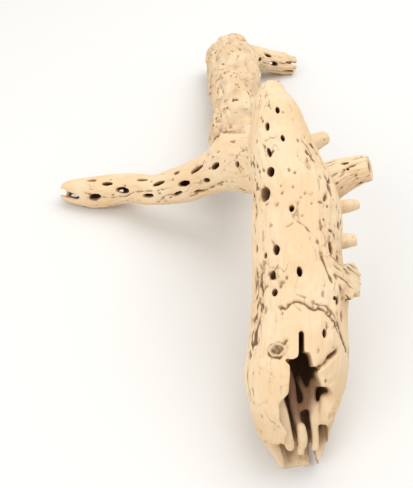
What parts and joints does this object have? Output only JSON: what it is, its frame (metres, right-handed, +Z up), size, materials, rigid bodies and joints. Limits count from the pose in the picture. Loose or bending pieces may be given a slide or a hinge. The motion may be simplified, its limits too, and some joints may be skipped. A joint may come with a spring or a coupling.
{
  "type": "cholla wood",
  "caption": "Weathered hollow cactus wood, branching and pierced with lens-shaped holes, that stands on the torn end of its trunk and the ends of its limbs.",
  "frame": {"origin": "middle of the bounding box's floor, on the surface that the piece stands on", "axes": "+Z up, +Y from the torn near end towards the rear limb's far end, +X to the right of someone who looks along +Y"},
  "size_m": [0.2984, 0.6314, 0.1818],
  "materials": {
    "trunk_wood": "pale, weathered, dry and matte",
    "left_wood": "pale, weathered, dry and matte",
    "rear_wood": "pale, knobby, dry and matte",
    "stub_wood": "pale, torn fibres, matte",
    "twig_wood": "pale, splayed fibres, matte"
  },
  "bodies": {
    "root": {"trunk": "trunk_wood", "left_branch": "left_wood", "rear_limb": "rear_wood", "right_stub": "stub_wood", "rear_twig": "twig_wood"}
  },
  "joints": []
}
